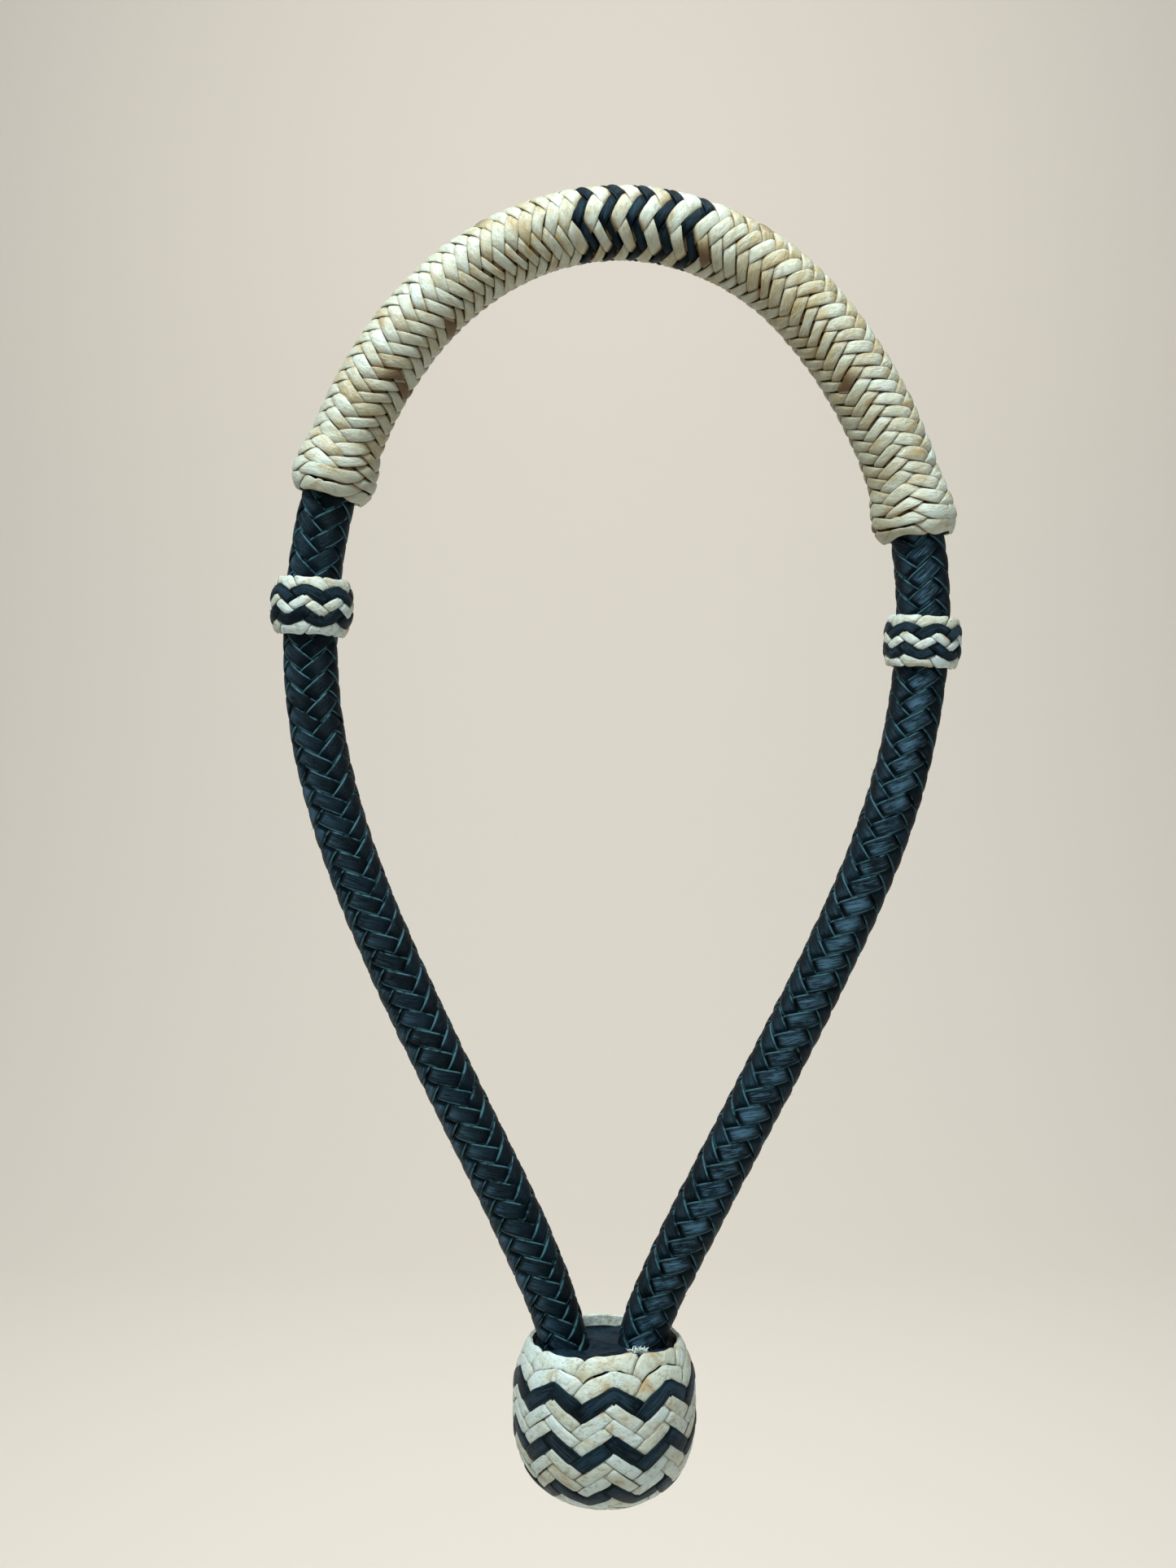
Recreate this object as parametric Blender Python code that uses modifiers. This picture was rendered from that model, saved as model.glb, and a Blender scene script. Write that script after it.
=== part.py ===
"""Bosal: the braided rawhide noseband of a hackamore, hanging by its nose button.

+Z is up, the loop lies in the XZ plane, and +X is to the right when looking along +Y.
The origin is the inside of the nose button under its middle, where it bears on a hook.
"""

import math

import bmesh
import bpy
import numpy as np
from mathutils import Matrix, Vector

MM = 0.001
GAP = 0.3 * MM

# Centreline of the body in mm (x, z), from the left end inside the heel knot, up the left cheek,
# over the nose and down the right cheek.
BODY_ROUTE = (
    (-17.6, -309.0), (-17.6, -300.0), (-17.8, -291.5), (-19.5, -280.0), (-25.8, -261.1),
    (-43.3, -223.3), (-61.4, -185.5), (-76.4, -147.7), (-84.3, -109.9), (-84.4, -90.0),
    (-78.8, -57.0), (-64.3, -25.5), (-50.6, -9.3), (-31.3, 3.5), (0.0, 9.0), (14.1, 6.0),
    (34.2, -4.7), (48.7, -19.8), (67.0, -53.9), (72.9, -90.0), (71.6, -109.9),
    (62.4, -147.7), (46.0, -185.5), (26.9, -223.3), (7.8, -261.1), (0.8, -280.0),
    (-0.1, -291.5), (-0.4, -300.0), (-0.4, -309.0),
)
NOSE_KNOT = 14  # the knot of the route in the middle of the nose button
BODY_RADIUS = 6.6 * MM
BODY_END_RADIUS = 6.0 * MM
BODY_TAPER = (31.0 * MM, 60.0 * MM)
PLAIT_THICKNESS = 1.8 * MM
SLEEVE_SIDES = 10
STATION_ARCH = 8.0 * MM
STATION_CHEEK = 13.0 * MM
ARCH_REACH = 150.0 * MM

NOSE_HALF_LENGTH = 115.2 * MM
NOSE_RADIUS = 9.0 * MM
NOSE_THICKNESS = 1.2 * MM
NOSE_FLARE_RADIUS = 10.7 * MM
NOSE_LIP_RADIUS = 8.4 * MM
NOSE_FLARE_LENGTH = 14.0 * MM
NOSE_FLARE_ARC = math.pi / 1.35  # how far round its arch the flare gets before the end
NOSE_LIP_SHARE = 0.30  # of the flare's length
NOSE_LIP_POWER = 1.6
NOSE_END_STATIONS = (0.0, 2.5, 5.0, 7.5, 10.0, 11.5, 13.0)  # mm from where the flare starts
NOSE_RING_STATIONS = (0.0, 2.5, 5.5, 8.0)  # mm
NOSE_RING_DEPTH = 1.9 * MM
NOSE_RING_ROUNDING = 0.6 * MM
NOSE_WRAP_OVERLAP = 2.0 * MM
NOSE_BAND_THICKNESS = 0.6 * MM
NOSE_COLUMNS = 8
NOSE_ROW = 3.57 * MM
NOSE_BANDS = 5

# side of the loop, place along the body, radius, length
SIDE_BUTTONS = {
    "left": (-1, 143.6 * MM, 10.3 * MM, 15.6 * MM), "right": (1, 141.6 * MM, 9.6 * MM, 14.2 * MM),
}
SIDE_END_RADIUS = 8.2 * MM
SIDE_BORE = 7.1 * MM
SIDE_THICKNESS = 1.1 * MM
SIDE_BULGE_POWER = 2.6
SIDE_WRAP_SHARE = 0.72  # of the button's length
SIDE_BAND_THICKNESS = 0.5 * MM
SIDE_COLUMNS = 14
SIDE_ROW = 2.8 * MM
SIDE_STEPS = 20

HEEL_AXIS_X = -9.0 * MM
HEEL_MOUTH_Z = -277.9 * MM
HEEL_RADIUS = 22.9 * MM
HEEL_MOUTH_RADIUS = 18.8 * MM
HEEL_RISE = 18.6 * MM
HEEL_DROP = 24.4 * MM
HEEL_HOLE_RADIUS = 2.6 * MM
HEEL_THICKNESS = 1.3 * MM
HEEL_COLUMNS = 18
HEEL_ROW = 3.9 * MM
HEEL_BANDS = {"upper": -11.5 * MM, "middle": -23.9 * MM, "lower": -35.3 * MM}
HEEL_BAND_THICKNESS = 0.8 * MM
HEEL_STEPS = 28
HEEL_SHOULDER_POWER = 2.9
HEEL_BOWL_POWERS = (2.6, 2.2)
HEEL_CREST = 0.5 * MM

FILLER_TOP_Z = HEEL_MOUTH_Z - 1.5 * MM
FILLER_CROWN_RADIUS = 8.0 * MM
FILLER_EDGE = -3.2 * MM
FOUNDATION_TOP_Z = HEEL_MOUTH_Z - 11.0 * MM
BINDING_Z = (-308.0 * MM, -299.0 * MM)
BINDING_THICKNESS = 1.5 * MM
CHANNEL_FLOOR_Z = -309.6 * MM
SHANK_CHANNEL_LENGTH = 45.0 * MM
BAND_SHARE = 0.36  # half the width of a black band, as a share of its row

# colour, roughness
MATERIALS = {
    "black_plait": ((0.018, 0.024, 0.030), 0.45),
    "black_interweave": ((0.015, 0.018, 0.024), 0.35),
    "cream_rawhide": ((0.74, 0.66, 0.47), 0.50),
    "black_leather": ((0.020, 0.022, 0.028), 0.30),
    "core_rawhide": ((0.62, 0.47, 0.26), 0.55),
    "foundation_wrap": ((0.66, 0.58, 0.42), 0.80),
    "binding_thread": ((0.70, 0.66, 0.56), 0.85),
}


# ---------------------------------------------------------------- scene and materials

def clear_scene():
    for obj in list(bpy.data.objects):
        bpy.data.objects.remove(obj, do_unlink=True)


def new_collection(name):
    collection = bpy.data.collections.new(name)
    bpy.context.scene.collection.children.link(collection)
    return collection


def material(name):
    colour, roughness = MATERIALS[name]
    made = bpy.data.materials.get(name) or bpy.data.materials.new(name)
    made.use_nodes = True
    shader = made.node_tree.nodes["Principled BSDF"]
    shader.inputs["Base Color"].default_value = (*colour, 1.0)
    shader.inputs["Roughness"].default_value = roughness
    shader.inputs["Metallic"].default_value = 0.0
    return made


def add_object(name, data, slot):
    obj = bpy.data.objects.new(name, data)
    data.materials.append(material(slot))
    PARTS.objects.link(obj)
    return obj


def as_cutter(obj):
    PARTS.objects.unlink(obj)
    CUTTERS.objects.link(obj)
    obj.hide_render = True
    obj.display_type = "WIRE"
    return obj


# ---------------------------------------------------------------- centreline

class Centreline:
    """A natural cubic spline through the route, measured by arc length from the nose centre."""

    SAMPLES_PER_SPAN = 60

    def __init__(self, route_mm):
        route = np.array(route_mm) * MM
        knots = np.concatenate([[0.0], np.cumsum(np.linalg.norm(np.diff(route, axis=0), axis=1))])
        spans = np.diff(knots)
        slopes = np.diff(route, axis=0) / spans[:, None]
        count = len(route)
        system = np.eye(count)
        right = np.zeros((count, 2))
        for i in range(1, count - 1):
            system[i, i - 1:i + 2] = spans[i - 1], 2 * (spans[i - 1] + spans[i]), spans[i]
            right[i] = 6 * (slopes[i] - slopes[i - 1])
        curvature = np.linalg.solve(system, right)
        pieces = []
        for i, span in enumerate(spans):
            t = np.linspace(0, span, self.SAMPLES_PER_SPAN, endpoint=i == count - 2)[:, None]
            first = slopes[i] - span * (2 * curvature[i] + curvature[i + 1]) / 6
            cubic = (curvature[i + 1] - curvature[i]) / (6 * span)
            pieces.append(route[i] + first * t + curvature[i] / 2 * t ** 2 + cubic * t ** 3)
        self.points = np.concatenate(pieces)
        steps = np.linalg.norm(np.diff(self.points, axis=0), axis=1)
        arc = np.concatenate([[0.0], np.cumsum(steps)])
        self.arc = arc - arc[NOSE_KNOT * self.SAMPLES_PER_SPAN]
        self.start, self.end = self.arc[0], self.arc[-1]

    def at(self, s):
        x, z = (np.interp(s, self.arc, self.points[:, i]) for i in range(2))
        return Vector((x, 0.0, z))

    def frame(self, s):
        """(point, tangent, in-plane normal pointing out of the loop) at arc length s."""
        step = 0.5 * MM
        tangent = (self.at(s + step) - self.at(s - step)).normalized()
        return self.at(s), tangent, Vector((-tangent.z, 0.0, tangent.x))

    def stations(self, start, end):
        """Arc lengths from start to end on one shared raster, closer together over the nose."""
        inner = np.arange(-ARCH_REACH, ARCH_REACH + STATION_ARCH / 2, STATION_ARCH)
        left = np.arange(-ARCH_REACH - STATION_CHEEK, self.start, -STATION_CHEEK)[::-1]
        right = np.arange(ARCH_REACH + STATION_CHEEK, self.end, STATION_CHEEK)
        margin = STATION_ARCH / 3
        raster = [s for s in (*left, *inner, *right) if start + margin < s < end - margin]
        return [start, *raster, end]


# ---------------------------------------------------------------- shapes

def poly_curve(name, points, radii, capped):
    """A curve object: a tube through points, whose radius follows radii."""
    data = bpy.data.curves.new(name, "CURVE")
    data.dimensions = "3D"
    data.bevel_depth = 1.0
    data.bevel_resolution = (SLEEVE_SIDES - 4) // 2
    data.use_fill_caps = capped
    spline = data.splines.new("POLY")
    spline.points.add(len(points) - 1)
    for point, place, radius in zip(spline.points, points, radii):
        point.co = (*place, 1.0)
        point.radius = radius
    return data


def body_radius(s):
    """Outer radius of the plaited body, which is squeezed where it enters the heel knot."""
    from_end = min(s - LINE.start, LINE.end - s)
    grown = np.interp(from_end, BODY_TAPER, (0.0, 1.0))
    return BODY_END_RADIUS + (BODY_RADIUS - BODY_END_RADIUS) * float(grown)


def rod(name, start, end, growth, slot):
    """A capped rod along the centreline, thicker than the body by growth."""
    stations = LINE.stations(start, end)
    radii = [body_radius(s) + growth for s in stations]
    points = [LINE.at(s) for s in stations]
    return add_object(name, poly_curve(name, points, radii, True), slot)


def sleeve(name, stations, radii, thickness, slot):
    """An open tube along the centreline, thickened inwards."""
    points = [LINE.at(s) for s in stations]
    obj = add_object(name, poly_curve(name, points, radii, False), slot)
    wall = obj.modifiers.new("wall", "SOLIDIFY")
    wall.thickness = thickness
    wall.offset = -1.0
    wall.use_even_offset = True
    return obj


def turned(name, profile, slot, steps):
    """A closed profile of (radius, height) turned about the object's Z axis."""
    mesh = bpy.data.meshes.new(name)
    count = len(profile)
    closed = profile[0][0] > 0 or profile[-1][0] > 0
    edges = [(i, i + 1) for i in range(count - 1)] + ([(count - 1, 0)] if closed else [])
    mesh.from_pydata([(radius, 0.0, height) for radius, height in profile], edges, [])
    obj = add_object(name, mesh, slot)
    screw = obj.modifiers.new("turn", "SCREW")
    screw.steps = screw.render_steps = steps
    screw.use_merge_vertices = True
    screw.merge_threshold = 0.01 * MM
    screw.use_smooth_shade = True
    return obj


def stand_on_heel_axis(obj):
    obj.location = (HEEL_AXIS_X, 0.0, HEEL_MOUTH_Z)
    return obj


def stand_on_line(obj, s):
    point, tangent, normal = LINE.frame(s)
    across = tangent.cross(normal)
    obj.matrix_world = Matrix.Translation(point) @ Matrix((normal, across, tangent)).transposed().to_4x4()
    return obj


def racetrack(half_span, radius, segments=9):
    """Outline points of two half circles joined by straight sides."""
    angles = np.linspace(-math.pi / 2, math.pi / 2, segments)
    right = [(half_span + radius * math.cos(a), radius * math.sin(a)) for a in angles]
    return right + [(-x, -y) for x, y in right]


def extruded(name, outlines, low, high, slot):
    """Flat outlines in XY, the later ones as holes, from height low to high."""
    data = bpy.data.curves.new(name, "CURVE")
    data.dimensions = "2D"
    data.fill_mode = "BOTH"
    data.extrude = (high - low) / 2
    for outline in outlines:
        spline = data.splines.new("POLY")
        spline.points.add(len(outline) - 1)
        for point, (x, y) in zip(spline.points, outline):
            point.co = (x, y, 0.0, 1.0)
        spline.use_cyclic_u = True
    obj = add_object(name, data, slot)
    obj.location = (HEEL_AXIS_X, 0.0, (low + high) / 2)
    return obj


def to_mesh(obj):
    """Replaces a curve object by a mesh object of the same shape, with its caps welded."""
    bpy.context.view_layer.update()
    evaluated = obj.evaluated_get(bpy.context.evaluated_depsgraph_get())
    mesh = bpy.data.meshes.new_from_object(evaluated)
    work = bmesh.new()
    work.from_mesh(mesh)
    bmesh.ops.remove_doubles(work, verts=work.verts, dist=0.01 * MM)
    bmesh.ops.recalc_face_normals(work, faces=work.faces)
    work.to_mesh(mesh)
    work.free()
    name = obj.name
    place = obj.matrix_world.copy()
    bpy.data.objects.remove(obj, do_unlink=True)
    made = bpy.data.objects.new(name, mesh)
    made.matrix_world = place
    PARTS.objects.link(made)
    return made


def cut(obj, cutter):
    difference = obj.modifiers.new("cut_" + cutter.name, "BOOLEAN")
    difference.operation = "DIFFERENCE"
    difference.object = as_cutter(cutter)


def zigzag_ring(name, place, columns, row, middle, radius_at, slot, thickness, samples=2):
    """A strand laid round a knot in a zigzag: up one column of the braid and down the next.

    place(height, angle, radius) gives the point; radius_at(height) is the surface it lies on.
    """
    half_width = BAND_SHARE * row
    count = columns * samples
    verts = []
    for i in range(count):
        phase = (i / samples) % 2.0
        centre = middle + row * (abs(phase - 1.0) - 0.5)
        angle = 2 * math.pi * i / count
        low, high = centre - half_width, centre + half_width
        for height, lift in ((low, 0.0), (high, 0.0), (high, thickness), (low, thickness)):
            verts.append(place(height, angle, radius_at(height) + GAP + lift))
    faces = []
    for i in range(count):
        here, after = 4 * i, 4 * ((i + 1) % count)
        for k in range(4):
            nxt = (k + 1) % 4
            faces.append((here + k, here + nxt, after + nxt, after + k))
    mesh = bpy.data.meshes.new(name)
    mesh.from_pydata(verts, [], faces)
    work = bmesh.new()
    work.from_mesh(mesh)
    bmesh.ops.recalc_face_normals(work, faces=work.faces)
    work.to_mesh(mesh)
    work.free()
    return add_object(name, mesh, slot)


def around_line(s_centre):
    """place() for a ring round the bent centreline, its heights counted along it from s_centre."""
    def place(height, angle, radius):
        point, _, normal = LINE.frame(s_centre + height)
        return point + radius * (math.cos(angle) * normal + math.sin(angle) * Vector((0, 1, 0)))
    return place


def around_axis(height, angle, radius):
    """place() for a ring round an object's own Z axis."""
    return Vector((radius * math.cos(angle), radius * math.sin(angle), height))


# ---------------------------------------------------------------- the body

def build_body():
    inset = PLAIT_THICKNESS + 2 * GAP
    rod("rawhide_core", LINE.start, LINE.end, -inset, "core_rawhide")
    stations = LINE.stations(LINE.start, LINE.end)
    radii = [body_radius(s) for s in stations]
    sleeve("plaited_body", stations, radii, PLAIT_THICKNESS, "black_plait")


# ---------------------------------------------------------------- nose button

def nose_radius(s):
    """Outer radius of the nose button braid, which flares before it closes on its lip."""
    from_end = NOSE_HALF_LENGTH - abs(s)
    if from_end >= NOSE_FLARE_LENGTH:
        return NOSE_RADIUS
    swell = math.sin(NOSE_FLARE_ARC * (1 - from_end / NOSE_FLARE_LENGTH))
    lip = max(0.0, 1 - from_end / (NOSE_LIP_SHARE * NOSE_FLARE_LENGTH))
    flared = NOSE_RADIUS + (NOSE_FLARE_RADIUS - NOSE_RADIUS) * swell
    return flared + (NOSE_LIP_RADIUS - flared) * lip ** NOSE_LIP_POWER


def build_nose():
    bore = BODY_RADIUS + GAP
    flare_start = NOSE_HALF_LENGTH - NOSE_FLARE_LENGTH
    wrap_half = flare_start + NOSE_WRAP_OVERLAP
    wrap = NOSE_RADIUS - NOSE_THICKNESS - GAP - bore
    stations = LINE.stations(-wrap_half, wrap_half)
    sleeve("nose_foundation", stations, [bore + wrap] * len(stations), wrap, "foundation_wrap")
    for side, name in ((-1, "left"), (1, "right")):
        ring = sorted(side * (wrap_half + GAP + step * MM) for step in NOSE_RING_STATIONS)
        radii = [bore + NOSE_RING_DEPTH] * len(ring)
        radii[0] = radii[-1] = bore + NOSE_RING_DEPTH - NOSE_RING_ROUNDING
        wall = NOSE_RING_DEPTH - NOSE_RING_ROUNDING
        sleeve("nose_end_ring_" + name, ring, radii, wall, "foundation_wrap")
    ends = [flare_start + step * MM for step in NOSE_END_STATIONS]
    inner = [s for s in LINE.stations(-NOSE_HALF_LENGTH, NOSE_HALF_LENGTH) if abs(s) < flare_start - MM]
    stations = sorted([*inner, *ends, *(-s for s in ends), NOSE_HALF_LENGTH, -NOSE_HALF_LENGTH])
    radii = [nose_radius(s) for s in stations]
    sleeve("nose_button_braid", stations, radii, NOSE_THICKNESS, "cream_rawhide")
    for i in range(NOSE_BANDS):
        s_centre = 2 * NOSE_ROW * (i - (NOSE_BANDS - 1) / 2)
        zigzag_ring(
            f"nose_interweave_{i + 1}", around_line(s_centre), NOSE_COLUMNS, NOSE_ROW, 0.0,
            lambda height: NOSE_RADIUS, "black_interweave", NOSE_BAND_THICKNESS, samples=3,
        )


# ---------------------------------------------------------------- side buttons

def build_side_buttons():
    for side, (sign, place, radius, length) in SIDE_BUTTONS.items():
        s_centre = sign * place
        half = length / 2

        def barrel(height, inset=0.0, radius=radius, half=half):
            bulge = 1 - min(1.0, abs(height) / half) ** SIDE_BULGE_POWER
            return SIDE_END_RADIUS + (radius - SIDE_END_RADIUS) * bulge - inset

        heights = np.linspace(half, -half, 8)
        outer = [(barrel(h), h) for h in heights]
        inner = [(barrel(h, SIDE_THICKNESS), h) for h in heights[::-1]]
        braid = turned(side + "_side_button_braid", outer + inner, "cream_rawhide", SIDE_STEPS)
        stand_on_line(braid, s_centre)

        inset = SIDE_THICKNESS + GAP
        core = np.linspace(SIDE_WRAP_SHARE * half, -SIDE_WRAP_SHARE * half, 5)
        outer = [(barrel(h, inset), h) for h in core]
        bore = [(SIDE_BORE, core[-1]), (SIDE_BORE, core[0])]
        wrap = turned(side + "_side_foundation", outer + bore, "foundation_wrap", SIDE_STEPS)
        stand_on_line(wrap, s_centre)

        for level, height in (("upper", SIDE_ROW), ("lower", -SIDE_ROW)):
            ring = zigzag_ring(
                f"{side}_side_interweave_{level}", around_axis, SIDE_COLUMNS, SIDE_ROW,
                -sign * height, barrel, "black_interweave", SIDE_BAND_THICKNESS,
            )
            stand_on_line(ring, s_centre)


# ---------------------------------------------------------------- heel knot

def heel_radius(height, inset=0.0):
    """Outer radius of the heel knot braid at a height below its mouth, less an inset."""
    above = height + HEEL_RISE
    if above >= 0:
        shoulder = (min(above, HEEL_RISE) / HEEL_RISE) ** HEEL_SHOULDER_POWER
        return HEEL_RADIUS - (HEEL_RADIUS - HEEL_MOUTH_RADIUS) * shoulder - inset
    drop = HEEL_DROP - inset
    below = min(1.0, -above / drop)
    along, across = HEEL_BOWL_POWERS
    return (HEEL_RADIUS - inset) * (1 - below ** along) ** (1 / across)


def heel_profile(top, inset, least_radius, points=11):
    """(radius, height) down the knot from height top to where its radius is least_radius."""
    bottom = -HEEL_RISE - (HEEL_DROP - inset)
    heights = top + (bottom - top) * np.sin(np.linspace(0, math.pi / 2, points))
    profile = [(heel_radius(h, inset), h) for h in heights[:-1]]
    profile = [(radius, h) for radius, h in profile if radius > least_radius + MM]
    return profile + [(least_radius, bottom)]


def build_heel():
    outer = heel_profile(0.0, 0.0, HEEL_HOLE_RADIUS)
    inner = heel_profile(0.0, HEEL_THICKNESS, HEEL_HOLE_RADIUS)[::-1]
    crest = [(HEEL_MOUTH_RADIUS - HEEL_THICKNESS / 2, HEEL_CREST)]
    shell = turned("heel_knot_braid", outer + inner + crest, "cream_rawhide", HEEL_STEPS)
    stand_on_heel_axis(shell)

    inset = HEEL_THICKNESS + GAP
    top = FOUNDATION_TOP_Z - HEEL_MOUTH_Z
    packing = [(0.0, top)] + heel_profile(top, inset, 0.0, points=8)
    foundation = stand_on_heel_axis(turned("heel_foundation", packing, "foundation_wrap", HEEL_STEPS))
    half_span = (BODY_ROUTE[-1][0] - BODY_ROUTE[0][0]) / 2 * MM
    bound = BODY_END_RADIUS + GAP + BINDING_THICKNESS
    channel = extruded(
        "heel_channel", [racetrack(half_span, bound + GAP)], CHANNEL_FLOOR_Z, HEEL_MOUTH_Z,
        "foundation_wrap",
    )
    cut(foundation, to_mesh(channel))

    outlines = [racetrack(half_span, bound), racetrack(half_span, BODY_END_RADIUS + GAP)]
    to_mesh(extruded("heel_binding", outlines, *BINDING_Z, "binding_thread"))

    crown = [(radius, FILLER_TOP_Z - HEEL_MOUTH_Z) for radius in (0.0, FILLER_CROWN_RADIUS)]
    foot = FOUNDATION_TOP_Z + GAP - HEEL_MOUTH_Z
    sides = [(heel_radius(h, inset), h) for h in np.linspace(FILLER_EDGE, foot, 5)]
    filler = turned("heel_filler", crown + sides + [(0.0, foot)], "black_leather", HEEL_STEPS)
    stand_on_heel_axis(filler)
    for name, start, end in (
        ("left", LINE.start, LINE.start + SHANK_CHANNEL_LENGTH),
        ("right", LINE.end - SHANK_CHANNEL_LENGTH, LINE.end),
    ):
        cutter = rod(f"{name}_shank_channel", start, end, GAP, "black_leather")
        cut(filler, to_mesh(cutter))

    for level, height in HEEL_BANDS.items():
        ring = zigzag_ring(
            "heel_interweave_" + level, around_axis, HEEL_COLUMNS, HEEL_ROW, height,
            heel_radius, "black_interweave", HEEL_BAND_THICKNESS,
        )
        stand_on_heel_axis(ring)


clear_scene()
PARTS = new_collection("bosal")
CUTTERS = new_collection("cutters")
LINE = Centreline(BODY_ROUTE)
build_body()
build_nose()
build_side_buttons()
build_heel()
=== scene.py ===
"""Looks of the bosal: every strand of its braids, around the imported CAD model."""

import math

import bmesh
import bpy
import numpy as np
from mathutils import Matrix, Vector


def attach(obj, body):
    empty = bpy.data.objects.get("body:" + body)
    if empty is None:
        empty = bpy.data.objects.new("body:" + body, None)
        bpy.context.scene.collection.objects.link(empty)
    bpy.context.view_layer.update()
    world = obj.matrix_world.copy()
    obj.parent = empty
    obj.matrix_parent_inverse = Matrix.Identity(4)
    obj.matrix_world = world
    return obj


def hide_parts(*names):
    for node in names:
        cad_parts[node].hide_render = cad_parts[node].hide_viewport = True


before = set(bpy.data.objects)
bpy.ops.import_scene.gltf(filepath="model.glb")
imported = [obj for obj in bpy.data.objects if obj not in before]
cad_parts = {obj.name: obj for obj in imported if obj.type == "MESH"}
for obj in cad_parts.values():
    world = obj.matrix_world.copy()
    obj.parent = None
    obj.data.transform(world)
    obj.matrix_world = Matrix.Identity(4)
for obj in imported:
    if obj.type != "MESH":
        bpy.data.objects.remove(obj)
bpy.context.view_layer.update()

MM = 0.001

# ---------------------------------------------------------------- sizes, following the CAD model

# Centreline of the body in mm (x, z). The point at x = 0 is the middle of the nose button.
BODY_ROUTE = (
    (-17.6, -309.0), (-17.6, -300.0), (-17.8, -291.5), (-19.5, -280.0), (-25.8, -261.1),
    (-43.3, -223.3), (-61.4, -185.5), (-76.4, -147.7), (-84.3, -109.9), (-84.4, -90.0),
    (-78.8, -57.0), (-64.3, -25.5), (-50.6, -9.3), (-31.3, 3.5), (0.0, 9.0), (14.1, 6.0),
    (34.2, -4.7), (48.7, -19.8), (67.0, -53.9), (72.9, -90.0), (71.6, -109.9),
    (62.4, -147.7), (46.0, -185.5), (26.9, -223.3), (7.8, -261.1), (0.8, -280.0),
    (-0.1, -291.5), (-0.4, -300.0), (-0.4, -309.0),
)
NOSE_KNOT = 14
BODY_TAPER = (31.0 * MM, 60.0 * MM)
CHEEK_RADIUS = (5.35 * MM, 5.95 * MM)
CHEEK_HIDDEN_END = 19.0 * MM
CHEEK_UNDER_NOSE = 6.0 * MM
CHEEK_TWIST = math.radians(33)
CHEEK_TWIST_SPAN = (-205 * MM, -160 * MM)

NOSE_HALF_LENGTH = 115.2 * MM
NOSE_RADIUS = 8.4 * MM
NOSE_FLARE_RADIUS = 9.9 * MM
NOSE_LIP_RADIUS = 8.0 * MM
NOSE_FLARE_LENGTH = 15.0 * MM
NOSE_FLARE_SPREAD = 1.35
NOSE_LIP_SHARE = 0.30
NOSE_LIP_CURVE = 1.6

# How far the weave of the nose button is pulled askew at its middle: along it, as a share of
# the way along it, and round it.
NOSE_PULL = 2.3 * MM
NOSE_SQUEEZE = 0.03
NOSE_PULL_TURN = math.radians(12)
NOSE_PULL_SPAN = 45.0 * MM

# side of the loop, place along the body, radius, length
SIDE_BUTTONS = {
    "left": (-1, 143.6 * MM, 10.6 * MM, 15.8 * MM), "right": (1, 141.6 * MM, 9.9 * MM, 14.3 * MM),
}
SIDE_END_RADIUS = 8.0 * MM
SIDE_BULGE_CURVE = 2.1

HEEL_AXIS_X = -9.0 * MM
HEEL_MOUTH_Z = -277.9 * MM
HEEL_RADIUS = 22.9 * MM
HEEL_MOUTH_RADIUS = 18.2 * MM
HEEL_RISE = 18.6 * MM
HEEL_DROP = 24.4 * MM
HEEL_HOLE_RADIUS = 4.0 * MM
HEEL_BOTTOM_CURVE = (2.6, 1 / 2.2)
HEEL_SHOULDER_CURVE = 2.9
HEEL_LIP_ROLL = 0.9 * MM

# The lip of the heel knot stands higher at one place, down to a depth below it.
LIP_SWELL = 1.3 * MM
LIP_SWELL_ANGLE = math.radians(-72)
LIP_SWELL_DEPTH = 7.0 * MM


# ---------------------------------------------------------------- the surfaces the braids lie on

class Centreline:
    """A natural cubic spline through the route, measured by arc length from the nose centre."""

    SAMPLES_PER_SPAN = 60

    def __init__(self, route_mm, nose_knot):
        route = np.array(route_mm) * MM
        spans = np.linalg.norm(np.diff(route, axis=0), axis=1)
        slopes = np.diff(route, axis=0) / spans[:, None]
        count = len(route)
        system = np.eye(count)
        right = np.zeros((count, 2))
        for i in range(1, count - 1):
            system[i, i - 1:i + 2] = spans[i - 1], 2 * (spans[i - 1] + spans[i]), spans[i]
            right[i] = 6 * (slopes[i] - slopes[i - 1])
        curvature = np.linalg.solve(system, right)
        pieces = []
        for i, span in enumerate(spans):
            t = np.linspace(0, span, self.SAMPLES_PER_SPAN, endpoint=i == count - 2)[:, None]
            first = slopes[i] - span * (2 * curvature[i] + curvature[i + 1]) / 6
            cubic = (curvature[i + 1] - curvature[i]) / (6 * span)
            pieces.append(route[i] + first * t + curvature[i] / 2 * t ** 2 + cubic * t ** 3)
        self.points = np.concatenate(pieces)
        steps = np.linalg.norm(np.diff(self.points, axis=0), axis=1)
        arc = np.concatenate([[0.0], np.cumsum(steps)])
        self.arc = arc - arc[nose_knot * self.SAMPLES_PER_SPAN]
        self.start, self.end = self.arc[0], self.arc[-1]
        tangent = np.gradient(self.points, self.arc, axis=0)
        self.tangent = tangent / np.linalg.norm(tangent, axis=1)[:, None]

    def at(self, s):
        """(x, z, tangent x, tangent z) at each arc length."""
        columns = (*self.points.T, *self.tangent.T)
        return [np.interp(s, self.arc, column) for column in columns]

    def around(self, s, angle, radius):
        """Points at an angle and radius round the centreline; angle 0 points out of the loop."""
        x, z, tx, tz = self.at(s)
        out = radius * np.cos(angle)
        return np.stack([x - out * tz, radius * np.sin(angle), z + out * tx], axis=-1)


LINE = Centreline(BODY_ROUTE, NOSE_KNOT)


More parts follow.
